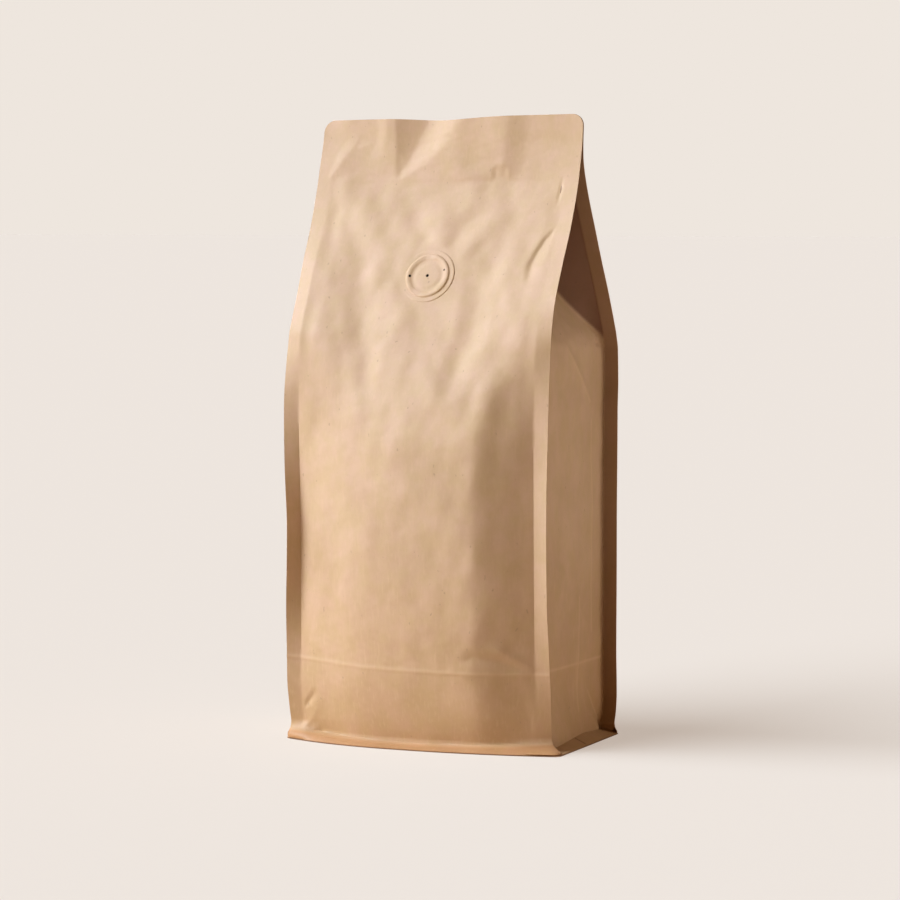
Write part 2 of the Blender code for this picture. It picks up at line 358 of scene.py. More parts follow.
def top_sag(x, z):
    """How far the top edge dips near the middle."""
    return 1.15 * np.exp(-(((x + 3) / 17) ** 2)) * ease(236, 260, z)


def top_rounding(z):
    """How much the round top corners take off a seal's width at height z."""
    above = np.clip(z - (BAG_TOP - TOP_CORNER), 0, TOP_CORNER)
    return TOP_CORNER - np.sqrt(TOP_CORNER**2 - above**2)


row_step = curve((0, 0.42), (10, 0.52), (40, 0.6), (52, 1.2), (150, 1.2), (175, 0.8), (260, 0.62))
# How far the webs have run out to the edge of the base seal, by height: at the corners and between
flare = curve(
    (LOWEST_EDGE, 0.93), (1.4, 1.0), (2.4, 0.96), (3.6, 0.70), (5.5, 0.28), (8.5, 0.0), (260, 0.0),
)  # fmt: skip
right_flare = curve(
    (LOWEST_EDGE, 0.93), (1.0, 1.0), (1.9, 0.72), (3.2, 0.24), (4.8, 0.05), (6.5, 0.0), (260, 0.0),
)  # fmt: skip
band = curve((LOWEST_EDGE, 1.0), (2.6, 0.62), (3.4, 0.40), (4.4, 0.0), (260, 0.0))
BAND_TOP = 3.7  # the seal height that the band curve is drawn for


LEAN = 0.035  # rise for each millimetre towards the front right
LEAN_DIRECTION = (0.4225, -0.906)
TOP_BEND = 0.09


def eased_ramp(value, reach):
    """0 below 0, then rising to a slope of 1 over the given reach."""
    above = np.maximum(value, 0)
    return np.where(above < reach, above * above / (2 * reach), above - reach / 2)


def foot_splay(x, y):
    """Bows the foot out at front and back, and spreads its right front corner."""
    a, b = x / FOOT_HALF_WIDTH, y / FOOT_HALF_DEPTH
    right, front = np.clip(a, 0, 1.1), np.clip(0.5 - b / 2, 0, 1)
    y = y + FOOT_BOW * b * (1 - np.clip(np.abs(a), 0, 1) ** 2.4) - 3.2 * right**3 * np.clip(-b, 0, 1)
    return x + FOOT_SPREAD * right * front, y


def band_height(x):
    """Height of the base seal's top edge, which is lower towards the middle."""
    return 2.1 + 1.6 * np.clip(np.abs(x) / 56, 0, 1) ** 2


def lean_back(points):
    """Lifts the front and right of the bag a little on its filling, and bends its top back."""
    x, y, z = points[..., 0], points[..., 1], points[..., 2]
    forward = LEAN_DIRECTION[0] * x + LEAN_DIRECTION[1] * y
    lift = LEAN * forward * ease(0, 60, z)
    back = TOP_BEND * eased_ramp(z - 238, 6)
    return np.stack((x, y + back, z + lift), axis=-1)


def web_rows():
    """Heights of a web's rows, closest together at the foot and the top."""
    z = [LOWEST_EDGE]
    while z[-1] < BAG_TOP - TOP_CORNER - 0.6:
        z.append(z[-1] + float(row_step(z[-1])))
    corner = BAG_TOP - TOP_CORNER + TOP_CORNER * np.sin(np.linspace(0, math.pi / 2, 8))
    corner[-1] = BAG_TOP - 0.02
    return np.concatenate((z, corner))


def fold_lines(side, z):
    """Left and right fold lines, seal bends and middle line of the front (-1) or back (1) web."""
    high = np.maximum(z, FOOT_FOLD)
    if side < 0:
        lines = front_left_fold, front_right_fold, front_left_bend, front_right_bend, front_middle
    else:
        lines = back_left_fold, back_right_fold, back_left_bend, back_right_bend, back_middle
    return [line(high) for line in lines]


def seal_point(hand, side, fold_y, bend, out):
    """A point of a corner seal, so many millimetres out from its fold line."""
    angle = np.radians(bend)
    return hand * (BODY + out * np.cos(angle)), fold_y + side * out * np.sin(angle)


SEAL_COLUMNS = np.linspace(0, 1, 8)[1:]
SEAL_SHARE = 0.07  # a corner seal's share of the foot's half width


def panel_web(side, relief):
    """Grid of the front (-1) or back (1) web, with its corner seals, and how creased it is."""
    z = web_rows()[:, None]
    left, right, left_bend, right_bend, middle = fold_lines(side, z)
    count = int(round(BODY / PAPER_STEP))
    t = np.linspace(-1, 1, 2 * count + 1)
    u = 0.62 * t + 0.38 * np.sin(t * math.pi / 2)
    corner = (left + right) / 2 + (right - left) / 2 * u
    share = fullness(z)
    section = share * (full_front if side < 0 else full_back)(u) + (1 - share) * lean(u)
    y = corner + (middle - (left + right) / 2) * section
    x = np.broadcast_to(BODY * u, y.shape)
    width = seal_width(z) - top_rounding(z)
    left_x, left_y = seal_point(-1, side, left, left_bend, width * SEAL_COLUMNS[::-1])
    right_x, right_y = seal_point(1, side, right, right_bend, width * SEAL_COLUMNS)
    x = np.concatenate((left_x, x, right_x), axis=1)
    y = np.concatenate((left_y, y, right_y), axis=1)
    z = np.broadcast_to(z, x.shape)
    lift, crease = relief(x, z)
    y = y + side * lift - top_wave(x, z)
    z = z - top_sag(x, z)
    # The foot: everything runs out to the flared base seal
    seal = SEAL_SHARE * SEAL_COLUMNS
    far = np.concatenate((-1 - seal[::-1], u, 1 + seal))
    foot_x = far / (1 + SEAL_SHARE) * FOOT_HALF_WIDTH
    over = np.clip(np.abs(foot_x) - (FOOT_HALF_WIDTH - FOOT_CORNER), 0, FOOT_CORNER)
    foot_y = side * (FOOT_HALF_DEPTH - FOOT_CORNER + np.sqrt(FOOT_CORNER**2 - over**2))
    corner = ease(45, 55, np.abs(foot_x))
    foot_x, foot_y = foot_splay(foot_x, foot_y)
    spread_out = np.where(x > 0, right_flare(z), flare(z))
    low = band(np.maximum(z * BAND_TOP / band_height(foot_x), LOWEST_EDGE))
    x = x + (foot_x - x) * spread_out
    y = y + (foot_y - y) * (low * (1 - corner) + spread_out * corner)
    return lean_back(np.stack((x, y, z), axis=2)), crease


# The side gussets: flat below, then tucked in between the panels above a slanting fold line
GUSSET_HALF = 37.4  # half the web's own width
GUSSET_COLUMNS = 85
SHELF = 163.0  # height where the tuck starts
TUCK_SLOPE = 0.62
GUSSET_FOOT = 1.5  # height of the flap that is welded to the base
GUSSET_SWELL = 1.2
# The slit is not cut into the sheet; it is only a painted line of shade
SLIT = -3.0  # where the flap's slit lies
gusset_foot_line = curve((-34, 59.4), (-20, 58.2), (-4, 57.0), (9, 56.0), (25, 55.0), (35, 54.2))
gusset_foot_rise = curve((-35, 0.0), (-30, 0.0), (-20, 0.5), (-4, 1.4), (9, 1.9), (25, 1.0), (35, 0.0))
tuck_shift = curve((150, -0.22), (190, -0.18), (215, -0.06), (235, 0.0), (260, 0.0))


def gusset_rows():
    """Heights of a gusset's rows, and how far each is out along the flap at its foot."""
    out = np.linspace(1, 0, 13)
    flap = LOWEST_EDGE + (GUSSET_FOOT - LOWEST_EDGE) * (1 - out)
    rows = web_rows()
    rows = rows[rows > GUSSET_FOOT + 0.3]
    return np.concatenate((flap, rows)), np.concatenate((out, np.zeros(len(rows))))


def gusset_web(hand, relief):
    """Grid of the right (1) or left (-1) gusset web, with its corner seals, its creases, and the painted
    shade deep in its tuck and in its flap's slit.
    """
    rows, out = gusset_rows()
    z, out = rows[:, None], out[:, None]
    front, back = fold_lines(-1, z), fold_lines(1, z)
    pick = 1 if hand > 0 else 0
    near, near_bend = front[pick] + LAYER + 0.08 * ease(225, 240, z), front[pick + 2]
    far, far_bend = back[pick] - LAYER, back[pick + 2]
    q = np.linspace(-1, 1, GUSSET_COLUMNS)
    half = (far - near) / 2
    y = (near + far) / 2 + half * q
    tuck = np.sqrt(np.maximum(GUSSET_HALF**2 - np.minimum(half, GUSSET_HALF) ** 2, 0))
    centre = tuck_shift(z) if hand > 0 else -0.4 * tuck_shift(z)
    walls = tuck * np.minimum((1 + q) / (1 + centre), (1 - q) / (1 - centre))
    ramp = TUCK_SLOPE * eased_ramp(z - SHELF, 10)
    depth = np.minimum(walls, ramp)
    # How deep in the tuck each point lies, which the material paints as shade
    tuck_shade = ease(0.0, 1.5, ramp - depth)
    # A painted line of shade where the flap is slit
    slit = np.exp(-(((y - SLIT) / 0.55) ** 2)) * ease(0.02, 0.1, out) * ease(0.95, 0.8, out)
    tuck_shade = np.maximum(tuck_shade, 0.85 * slit)
    swell = GUSSET_SWELL * (1 - np.abs(q) ** 2.2) * ease(2, 45, z) * (1 - ease(150, 185, z))
    lift, crease = relief(y, np.broadcast_to(z, y.shape))
    x = BODY + swell - depth + lift
    push = np.maximum(gusset_foot_line(y) - BODY, 0) * (1 - ease(0, 26, z))
    x = x + push * (1 - np.abs(q) ** 8)
    width = (seal_width(z) - top_rounding(z) - 0.1) * np.ones_like(z)
    near_x, near_y = seal_point(1, -1, near, near_bend, width * SEAL_COLUMNS[::-1])
    far_x, far_y = seal_point(1, 1, far, far_bend, width * SEAL_COLUMNS)
    x = np.concatenate((near_x, x, far_x), axis=1)
    y = np.concatenate((near_y, y, far_y), axis=1)
    z = np.broadcast_to(z, x.shape)
    y = y - top_wave(hand * x, z)
    z = z - top_sag(hand * x, z)
    z = z + gusset_foot_rise(y) * (1 - out) * (1 - ease(GUSSET_FOOT, 20, z))
    inner = FOOT_HALF_DEPTH - FOOT_CORNER
    angle = np.linspace(0.45 * math.pi, 0, len(SEAL_COLUMNS) + 1)[:-1]
    arc_x = FOOT_HALF_WIDTH - FOOT_CORNER + FOOT_CORNER * np.cos(angle)
    arc_y = inner + FOOT_CORNER * np.sin(angle)
    foot_x = np.concatenate((arc_x, np.full(GUSSET_COLUMNS, FOOT_HALF_WIDTH), arc_x[::-1])) - 0.1
    foot_y = np.concatenate((-arc_y, inner * q, arc_y[::-1]))
    foot_x, foot_y = foot_splay(hand * foot_x, foot_y)
    x = x + (hand * foot_x - x) * out
    y = y + (foot_y - y) * out
    seal = len(SEAL_COLUMNS)
    points = lean_back(np.stack((hand * x, y, z), axis=2))
    pad = ((0, 0), (seal, seal))
    return points, np.pad(crease, pad), np.pad(tuck_shade, pad)


# ---------------------------------------------------------------- creases and dents
# Each fold is a path of (across, up, height, reach) points on its web, and a fifth number is the
# reach on the path's other side. Heights are outward.

# Soft puckers of the front panel, drawn in round the valve and pressed out by the beans
PUCKER_STRENGTH = 0.49
FRONT_SOFT = [
    # hollows and ridges that hang below the valve
    [(-35, 212, -0.4, 8), (-32, 194, -1.7, 9), (-28, 180, -2.2, 10), (-24, 163, -2.0, 9),
     (-19, 147, -1.4, 7), (-16, 137, 0, 6)],
    [(-15, 186, 0.8, 7), (-10, 176, 1.5, 9), (-8, 161, 1.1, 10), (-5, 147, 0.7, 8), (-3, 137, 0, 7)],
    [(21, 190, -0.6, 7), (24, 181, -1.9, 9), (24, 169, -2.1, 9), (20, 157, -1.3, 8),
     (18.5, 147, -0.8, 8), (17, 139, 0, 7)],
    [(6, 153, 0.5, 8), (13, 144, 1.2, 8), (20, 140, 0.7, 7), (25, 134, 0, 6)],
    # the fullness under the right shoulder, which turns into the beans' edge below
    [(38, 182, 0.6, 9), (46, 168, 0.7, 11), (44, 156, 1.4, 10), (37, 146, 2.0, 9), (33, 128, 1.4, 9),
     (31, 108, 0.3, 8), (30, 96, 0, 7)],
    # the left shoulder
    [(-45, 192, 0.7, 8), (-44, 178, 0.8, 8), (-43, 165, 1.5, 10), (-38, 151, 0.6, 9), (-36, 139, 0, 8)],
    [(-52, 238, 0.5, 8), (-42, 227, 1.0, 9), (-34, 217, 1.3, 9), (-27, 209, 0.3, 8)],
    [(-52, 219, -1.1, 9), (-51, 202, -0.4, 8)],
    # short hollows and ridges that fan out above the valve
    [(-15, 225, -0.5, 6), (-10, 217, -1.1, 7), (-5, 209, -0.9, 5)],
    [(2, 208, 0.4, 5), (2, 217, 0.6, 6), (0, 226, 0.0, 6)],
    [(8, 207, -0.9, 5), (12, 214, -1.4, 7), (17, 219, -1.0, 7), (23, 226, 0, 6)],
    [(14, 203, 0.6, 5), (19, 209, 1.0, 6), (26, 216, 0.5, 7)],
    [(-3, 246, 0.6, 7), (4, 239, 1.1, 8), (12, 232, 0.8, 7), (17, 228, 0, 6)],
    [(27, 207, -0.6, 8), (28, 197, -1.4, 8), (26, 189, -0.6, 7)],
    [(-16, 196, -0.4, 5), (-23, 200, -0.3, 7)],
    # the right foot turns away from the light
    [(29, 31, 0.4, 9), (32, 22, 1.1, 15), (35, 13, 1.1, 15), (38, 4, 0.2, 11)],
]
BASE_CREASE = [
    (-60, 34.9, 0.20, 1.5), (-53, 34.5, 0.20, 1.5), (-20, 32.6, 0.17, 1.5), (12, 32.0, 0.20, 1.5),
    (53, 31.6, 0.26, 1.5), (60, 31.4, 0.24, 1.5),
]  # fmt: skip
# Creased folds of the front panel
FRONT_CREASES = [
    # the pocket beside the right-hand corner seal
    [(52.3, 212, -0.3, 2.5, 1.6), (49.0, 207.9, -0.7, 4.5, 1.6), (46.4, 202.4, -0.8, 5.5, 1.8),
     (44.9, 197.8, -0.7, 5.5, 2.2), (44.9, 193.1, -0.4, 5, 2.6), (46.2, 189.6, 0, 3, 2)],
    # the tight pinch where the top seal ends at the right
    [(52.6, 234, -0.2, 2, 1.2), (52.2, 229, -0.55, 2.5, 1.2), (51.4, 221, 0, 2, 1.5)],
    # the line where the base was folded flat
    BASE_CREASE,
    # the pinched left foot: a pocket, the ridge beside it and the hollow under the ridge
    [(-52.2, 13.4, -0.2, 1.2), (-49.4, 16.5, -0.7, 2.2, 2.8), (-46.4, 19.6, -0.5, 2.6, 3.2),
     (-43.5, 21.5, 0, 3)],
    [(-52.4, 4.0, 0.2, 1.2), (-48.5, 8.5, 0.3, 4, 2.5), (-44.4, 15.0, 0.35, 8, 5), (-40, 24, 0, 7)],
    [(-52.4, 4.0, -0.2, 1.0), (-47.5, 4.1, -1.3, 5, 0.9), (-41, 3.8, -1.1, 6, 0.9),
     (-30, 3.2, -0.4, 7, 0.9), (-18, 3.0, 0, 5, 0.9)],
    # tucks above the base fold at the right
    [(52, 34, 0.3, 3), (41, 41, 0.7, 4), (36, 44, 0, 4)],
    [(22, 33, 0.3, 4), (30, 38.5, -0.8, 5), (40, 36.5, -0.9, 4), (52, 33, 0, 3)],
    [(52.6, 5, 0.1, 3), (50.5, 14, -0.35, 8, 5), (47, 26, -0.2, 8, 5), (45, 31, 0, 5)],
]
VALVE_X, VALVE_Z = -0.5, 193.5
HEM_HEIGHT = 0.3
SEAL_STEP = 0.05
VALVE_FLAT = 10.5  # the panel is pressed flat this far from the middle of the valve


def hem(x, z):
    """The thin worn ridge along the top of the base seal."""
    return np.exp(-(((z - band_height(x)) / 0.40) ** 2))


def rumple(x, z, inside, seed, broad, fine):
    """Broad and fine waves of a panel's body, above the base fold and below the top seal."""
    body = ease(12, 40, z) * (1 - ease(225, 245, z)) * inside
    return broad * ripple(x, z, 26, seed) * body + fine * ripple(x, z, 9, seed + 1) * body


def paper_waves(x, z, inside, seed):
    """The paper's own slight waviness, and the ridge of its hem."""
    return 0.022 * ripple(x, z, 4, seed) * inside * ease(8, 14, z) + HEM_HEIGHT * hem(x, z)


def front_relief(x, z):
    """Height of every crease and dent of the front panel, and how worn the paper is there."""
    inside = ease(0, 7, BODY - np.abs(x))
    clear = ease(VALVE_FLAT, VALVE_FLAT + 4.5, np.hypot(x - VALVE_X, z - VALVE_Z))
    lift = PUCKER_STRENGTH * folds(x, z, FRONT_SOFT) * inside * clear
    web = np.maximum(ease(0, 2, BODY - np.abs(x)), ease(26, 28, z) * ease(40, 38, z))
    lift = lift + folds(x, z, FRONT_CREASES, crisp=True) * web
    lift = lift + rumple(x, z, inside * clear, 3, 0.12, 0.07)
    lift = lift + paper_waves(x, z, inside, 5) + SEAL_STEP * ease(TOP_SEAL, TOP_SEAL + 0.9, z)
    return lift, 0.6 * worn_line(x, z, [BASE_CREASE]) + 0.6 * hem(x, z)


BACK_SOFT = [
    [(-30, 205, -0.6, 9), (-33, 185, -1.2, 11), (-28, 162, -0.8, 11)],
    [(-8, 190, 0.5, 9), (-12, 168, 1.2, 10), (-14, 148, 0.4, 9)],
    [(14, 200, -0.5, 9), (12, 178, -1.0, 10), (16, 156, -0.6, 9)],
    [(32, 196, 0.6, 9), (30, 172, 1.2, 10), (26, 150, 0.5, 9)],
    [(46, 205, -0.5, 8), (44, 188, -0.9, 8)],
]
BACK_CREASES = [
    [(-53, 32, 0.35, 2.5), (0, 33, 0.35, 2.5), (53, 34, 0.35, 2.5)],
    [(52.4, 12, -0.3, 2), (45, 18, -1.3, 3.5), (39, 21.5, 0, 4)],
    [(-52.6, 4, -0.4, 2), (-44, 7, -1.2, 3, 4), (-33, 8, 0, 5)],
]


def back_relief(x, z):
    """Height of the creases and dents of the back panel, and how worn the paper is there."""
    inside = ease(0, 7, BODY - np.abs(x))
    lift = folds(x, z, BACK_SOFT) * inside
    lift = lift + folds(x, z, BACK_CREASES, crisp=True) * ease(0, 2, BODY - np.abs(x))
    lift = lift + rumple(x, z, inside, 13, 0.18, 0.06) + paper_waves(x, z, inside, 15)
    return lift, worn_line(x, z, BACK_CREASES) + 0.8 * hem(x, z)


RIGHT_CREASES = [
    [(-5, 164, 0.3, 5), (8, 152, 0.7, 5), (19, 141.5, 0, 4)],
    [(21.5, 133, 0.0, 4), (21.7, 90, 0.3, 4), (21.7, 45, 0.0, 4)],
    [(-34, 31.6, 0.07, 2.5), (34, 33, 0.07, 2.5)],
    [(29, 166.5, -0.8, 3), (37, 164.4, -0.3, 2)],
    [(8, 60, 0.0, 3), (7, 38, 0.25, 3), (6, 12, 0.0, 3)],
    [(35, 3, -1.5, 5), (26, 12, -1.2, 8), (18, 20, 0, 6)],
]
LEFT_CREASES = [
    [(5, 164, 0.3, 5), (-8, 152, 0.7, 5), (-18, 142, 0, 4)],
    [(-34, 34.6, 0.25, 2.5), (34, 33, 0.25, 2.5)],
    [(-34, 4, -1.2, 5), (-26, 12, -1.0, 8), (-18, 20, 0, 6)],
    [(10, 120, 0.0, 5), (12, 85, 0.4, 5), (11, 50, 0.0, 5)],
]


def gusset_relief(creases, seed):
    """A function that gives a gusset's creases and waves, and how worn the paper is there."""

    def relief(y, z):
        inside = ease(0, 5, 36.5 - np.abs(y))
        lift = folds(y, z, creases, crisp=True) * inside
        body = ease(10, 40, z) * (1 - ease(200, 235, z)) * inside
        lift = lift + 0.2 * ripple(y, z, 24, seed) * body + 0.05 * ripple(y, z, 8, seed) * body
        return lift, worn_line(y, z, creases)

    return relief


BEHIND_SEAL_SHADE = 0.62  # how dark the painted shade on a seal's back layer is


def tuck_shade_mark(tuck_shade):
    """How much painted shade each point of a gusset gets: deep in its tuck or its flap's slit, or behind
    the fold of its seal.
    """
    column = np.arange(tuck_shade.shape[1]) - (tuck_shade.shape[1] - 1 - len(SEAL_COLUMNS))
    behind = ease(-1, 1, column)[None, :] * np.ones_like(tuck_shade)
    return np.maximum(tuck_shade, BEHIND_SEAL_SHADE * behind)


def base_band_shade_mark(points):
    """Where a panel runs down into the base seal band, which is painted darker and browner as shade."""
    top = band_height(points[..., 0])
    return ease(top + 0.5, top - 0.3, points[..., 2])


# ---------------------------------------------------------------- materials


def shader_nodes(name):
    """A new material, its node tree and its main shader."""
    material = bpy.data.materials.new(name)
    material.use_nodes = True
    tree = material.node_tree
    return material, tree, tree.nodes["Principled BSDF"]


def noise(tree, source, scale, detail, roughness=0.5, stretch=(1, 1, 1), turn=(0, 0, 0)):
    """A noise texture on object coordinates, stretched and turned."""
    place = tree.nodes.new("ShaderNodeMapping")
    place.inputs["Scale"].default_value = stretch
    place.inputs["Rotation"].default_value = [math.radians(a) for a in turn]
    tree.links.new(source, place.inputs["Vector"])
    texture = tree.nodes.new("ShaderNodeTexNoise")
    texture.inputs["Scale"].default_value = scale
    texture.inputs["Detail"].default_value = detail
    texture.inputs["Roughness"].default_value = roughness
    tree.links.new(place.outputs["Vector"], texture.inputs["Vector"])
    return texture.outputs["Fac"]


def spread(tree, value, low, high, to_low=0.0, to_high=1.0):
    """Maps a value from one range to another, held at the ends."""
    node = tree.nodes.new("ShaderNodeMapRange")
    node.inputs["From Min"].default_value = low
    node.inputs["From Max"].default_value = high
    node.inputs["To Min"].default_value = to_low
    node.inputs["To Max"].default_value = to_high
    tree.links.new(value, node.inputs["Value"])
    return node.outputs["Result"]


def feed(tree, pairs):
    """Gives each socket its value, which is a fixed one or another socket to link."""
    for value, socket in pairs:
        if isinstance(value, bpy.types.NodeSocket):
            tree.links.new(value, socket)
        else:
            socket.default_value = value


def blend_colour(tree, factor, first, second, mode="MIX"):
    """Mixes two colours, each a socket or a fixed colour, by a factor socket or number."""
    node = tree.nodes.new("ShaderNodeMix")
    node.data_type = "RGBA"
    node.blend_type = mode
    feed(tree, ((factor, node.inputs[0]), (first, node.inputs[6]), (second, node.inputs[7])))
    return node.outputs[2]


def tinted(tree, colour, by, share=1.0):
    """A colour multiplied by another, wholly or by a share."""
    return blend_colour(tree, share, colour, by, "MULTIPLY")


def calculate(tree, operation, first, second):
    """A sum or product of two sockets or numbers."""
    node = tree.nodes.new("ShaderNodeMath")
    node.operation = operation
    feed(tree, ((first, node.inputs[0]), (second, node.inputs[1])))
    return node.outputs[0]


def stored_mark(tree, name):
    """A mark that was stored at the points of the web."""
    mark = tree.nodes.new("ShaderNodeAttribute")
    mark.attribute_name = name
    return mark.outputs["Fac"]


# What the paper's colour is multiplied by or mixed with, all of it painted shade: towards the foot, in the
# gussets' tucks and behind their seals, along the base seal band, and inside the vent holes
FOOT_SHADE_TINT = (0.895, 0.805, 0.665, 1)
TUCK_SHADE_TINT = (0.33, 0.22, 0.16, 1)
BASE_BAND_SHADE_TINT = (0.92, 0.77, 0.62, 1)
HOLE_SHADE_COLOUR = (0.004, 0.003, 0.002, 1.0)
FOOT_SHADE_TOP = 0.095  # metres up, where the painted shade towards the foot has faded out
PAPER_SPECULAR = 0.5
PAPER_SHEEN = 0.03


def paper_colour(tree, where, mat, fibres, paper):
    """Clouds, fibre mat, fibres, threads and flecks in the paper's own colour, with painted shade towards
    the foot.
    """

    def tint(red, green, blue):
        return (min(1.0, paper[0] * red), min(1.0, paper[1] * green), min(1.0, paper[2] * blue), 1.0)

    clouds = noise(tree, where, 45, 3, 0.5, stretch=(1, 1, 0.7))
    clouds = spread(tree, clouds, 0.36, 0.64)
    colour = blend_colour(tree, clouds, tint(0.95, 0.94, 0.92), tint(1.04, 1.05, 1.07))
    split = tree.nodes.new("ShaderNodeSeparateXYZ")
    tree.links.new(where, split.inputs[0])
    # Painted shade: the paper is darker and browner towards the foot
    foot = spread(tree, split.outputs[2], 0.0, FOOT_SHADE_TOP, 1.0, 0.0)
    colour = tinted(tree, colour, FOOT_SHADE_TINT, foot)
    warm = noise(tree, where, 120, 4, 0.6, stretch=(1, 1, 0.8), turn=(0, 15, 0))
    warm = spread(tree, warm, 0.36, 0.64)
    warm = blend_colour(tree, warm, (1.025, 1.005, 1.07, 1), (0.975, 0.985, 0.92, 1))
    colour = tinted(tree, colour, warm)
    shade = spread(tree, mat, 0.3, 0.7)
    shade = blend_colour(tree, shade, (0.972, 0.96, 0.945, 1), (1.028, 1.04, 1.055, 1))
    colour = tinted(tree, colour, shade)
    pale = spread(tree, fibres, 0.54, 0.72, 0.0, 0.2)
    colour = blend_colour(tree, pale, colour, tint(1.16, 1.17, 1.18))
    threads = noise(tree, where, 900, 2, 0.5, stretch=(0.2, 0.2, 1), turn=(0, 9, 0))
    threads = spread(tree, threads, 0.56, 0.74, 0.0, 0.1)
    colour = blend_colour(tree, threads, colour, tint(0.84, 0.82, 0.80))
    flecks = noise(tree, where, 700, 1, 0.4, stretch=(1, 1, 0.6), turn=(0, 25, 0))
    flecks = spread(tree, flecks, 0.75, 0.80, 0.0, 0.5)
    colour = blend_colour(tree, flecks, colour, tint(0.6, 0.56, 0.52))
    worn = spread(tree, stored_mark(tree, "worn"), 0.0, 1.0, 0.0, 0.3)
    return blend_colour(tree, worn, colour, tint(1.4, 1.45, 1.5))


def kraft_paper(name, look, pierced=False):
    """Unbleached kraft paper: cloudy fibre mat, fine fibres, dark flecks and paler worn creases, with
    painted shade in the gussets' tucks, behind their seals, on the base sheet's rim, along the base seal
    band and towards the foot.
    """
    material, tree, shader = shader_nodes(name)
    where = tree.nodes.new("ShaderNodeTexCoord").outputs["Object"]
    mat = noise(tree, where, 420, 6, 0.78, stretch=(1, 1, 0.6))
    fibres = noise(tree, where, 1000, 2, 0.5, stretch=(1, 1, 0.16), turn=(8, 0, 12))
    colour = paper_colour(tree, where, mat, fibres, look.paper_colour)
    # Painted shade: deep in the gussets' tucks, in their flaps' slits, behind their seals, and along the
    # base sheet's rim
    colour = tinted(tree, colour, TUCK_SHADE_TINT, stored_mark(tree, "tuck"))
    shader.inputs["Specular IOR Level"].default_value = PAPER_SPECULAR
    shader.inputs["Sheen Weight"].default_value = PAPER_SHEEN
    shader.inputs["Sheen Roughness"].default_value = 0.5
    if pierced:
        # The vent holes' insides are painted near-black as shade, and lose their gloss
        hole = stored_mark(tree, "hole")
        colour = blend_colour(tree, hole, colour, HOLE_SHADE_COLOUR)
        for gloss, level in (("Specular IOR Level", PAPER_SPECULAR), ("Sheen Weight", PAPER_SHEEN)):
            tree.links.new(spread(tree, hole, 0.0, 1.0, level, 0.0), shader.inputs[gloss])
    # Painted shade along the base seal band
    colour = tinted(tree, colour, BASE_BAND_SHADE_TINT, stored_mark(tree, "base_band_shade"))
    tree.links.new(colour, shader.inputs["Base Color"])
    rough = look.paper_roughness
    rough = spread(tree, mat, 0.3, 0.7, rough - 0.06, rough + 0.08)
    tree.links.new(rough, shader.inputs["Roughness"])
    mat_grain, fibre_grain = calculate(tree, "MULTIPLY", mat, 0.6), calculate(tree, "MULTIPLY", fibres, 0.4)
    bump = tree.nodes.new("ShaderNodeBump")
    bump.inputs["Strength"].default_value = 0.35
    bump.inputs["Distance"].default_value = 0.00014
    tree.links.new(calculate(tree, "ADD", mat_grain, fibre_grain), bump.inputs["Height"])
    tree.links.new(bump.outputs["Normal"], shader.inputs["Normal"])
    return material


def paper_material():
    """The bag's one paper, made once and shared by its webs."""
    found = bpy.data.materials.get("bag_paper")
    return found or kraft_paper("bag_paper", bpy.context.scene.bag_paper)


def valve_material():
    """The same paper, stretched over the valve and pierced by its vent holes, whose insides are painted
    near-black as shade.
    """
    return kraft_paper("valve_paper", bpy.context.scene.bag_paper, pierced=True)


def close_ends(piece):
    """Fills the two small round openings at the ends of a turned shape."""
    mesh = bmesh.new()
    mesh.from_mesh(piece.data)
    edges = [edge for edge in mesh.edges if edge.is_boundary]
    bmesh.ops.holes_fill(mesh, edges=edges, sides=0)
    bmesh.ops.recalc_face_normals(mesh, faces=mesh.faces)
    mesh.to_mesh(piece.data)
    mesh.free()


def soft_light(name, strength, colour, softness, height, turn, lit):
    """A large distant light: its height over the floor, and its turn from the front to the left."""
    light = bpy.data.lights.new(name, "SUN")
    light.energy, light.angle, light.color = strength, softness, colour
    lamp = bpy.data.objects.new(name, light)
    bpy.context.scene.collection.objects.link(lamp)
    lamp.rotation_euler = (math.pi / 2 - height, 0, -turn)
    lamp.light_linking.receiver_collection = lit


FLOOR_BOUNCE_SHADE = (0.40, 0.385, 0.375, 1.0)  # the floor's colour as the bag sees it


def floor_material(look):
    """The pale studio surface, which also glows a little so that shadows stay light."""
    material, tree, shader = shader_nodes("studio_floor")
    where = tree.nodes.new("ShaderNodeTexCoord").outputs["Object"]
    tooth = noise(tree, where, 60, 3)
    near = tuple(look.floor_colour) + (1.0,)
    far = tuple(c * 0.99 for c in look.floor_colour) + (1.0,)
    shader.inputs["Roughness"].default_value = 0.9
    shader.inputs["Specular IOR Level"].default_value = 0.0
    seen = tree.nodes.new("ShaderNodeLightPath").outputs["Is Camera Ray"]
    toothed = blend_colour(tree, tooth, near, far)
    lit = blend_colour(tree, seen, FLOOR_BOUNCE_SHADE, toothed)
    tree.links.new(lit, shader.inputs["Base Color"])
    bounced, glow = tuple(look.floor_bounce) + (1.0,), tuple(look.floor_glow) + (1.0,)
    tree.links.new(blend_colour(tree, seen, bounced, glow), shader.inputs["Emission Color"])
    shader.inputs["Emission Strength"].default_value = 1.0
    return material


# The room's own light is brightest to the bag's left, in front and above
ROOM_SIDE = (-0.75, -0.55, 0.35)
DIM_SIDE = 0.10  # how bright the room is on the other side


